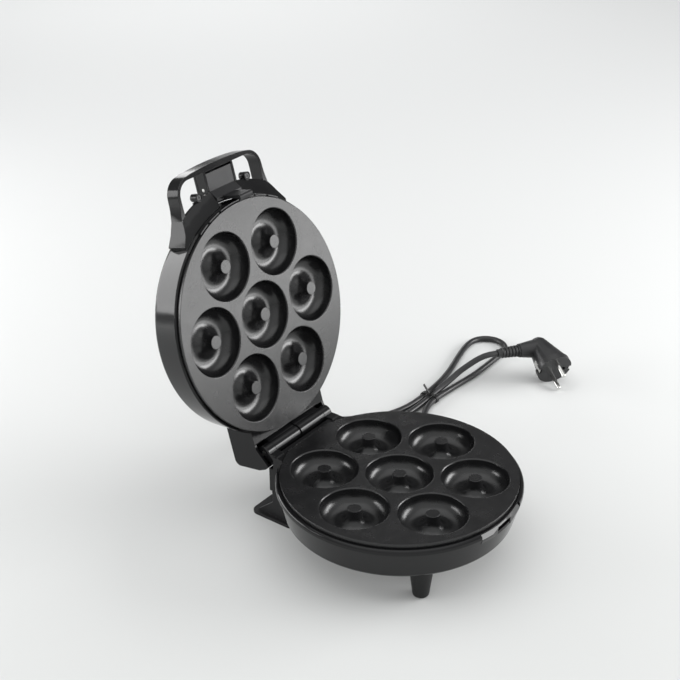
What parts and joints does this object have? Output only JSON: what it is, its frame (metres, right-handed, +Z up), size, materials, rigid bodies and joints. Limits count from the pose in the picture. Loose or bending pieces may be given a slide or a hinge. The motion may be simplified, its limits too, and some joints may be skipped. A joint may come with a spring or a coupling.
{
  "type": "donut maker",
  "caption": "Round hinged contact grill for ring doughnuts: ring-shaped cavities in both plates, loop handle with a latch, tapered feet and a mains cord.",
  "frame": {"origin": "on the table, under the middle of the open maker's box measured without the cord", "axes": "+Z up; -Y towards the front, where the handle closes onto the base; +X to the right as seen from the front"},
  "size_m": [0.4767, 0.3152, 0.3135],
  "materials": {
    "black_gloss": "glossy",
    "black_matte": "satin",
    "nonstick": "satin non-stick coating",
    "steel": "plain",
    "tin": "dull",
    "bright": "bright",
    "pale": "matte",
    "red_lens": "translucent look",
    "green_lens": "translucent look",
    "cord_black": "satin"
  },
  "bodies": {
    "base": {"base_shell": "black_gloss", "base_plate": "nonstick", "base_heater": "tin", "base_reflector": "tin", "base_screws": "steel", "front_foot_left": "black_matte", "front_foot_right": "black_matte", "rear_stand": "black_matte", "stand_screws": "steel", "hinge_pin": "steel", "thermostat": "steel", "thermal_fuse": "tin", "terminal_block": "pale", "cord_gland": "cord_black", "cord": "cord_black", "cord_tie": "black_matte", "plug_relief": "cord_black", "plug_body": "cord_black", "plug_pins": "bright", "plug_earth_clips": "bright"},
    "lid": {"lid_shell": "black_gloss", "lid_plate": "nonstick", "lid_heater": "tin", "lid_reflector": "tin", "lid_frame": "steel", "lid_screws": "steel", "lid_handle": "black_gloss", "handle_screws": "steel", "power_lens": "red_lens", "ready_lens": "green_lens", "lamp_holder": "pale", "latch_pin": "steel"},
    "latch": {"latch_lever": "black_matte"}
  },
  "joints": [
    {"name": "lid_hinge", "type": "hinge", "parent": "base", "child": "lid", "pos_m": [0, 0.06497, 0.0688], "axis": [1, 0, 0], "range_deg": [0, 105]},
    {"name": "latch_pivot", "type": "hinge", "parent": "lid", "child": "latch", "pos_m": [0, 0.14516, 0.29195], "axis": [1, 0, 0], "range_deg": [0, 6]}
  ]
}
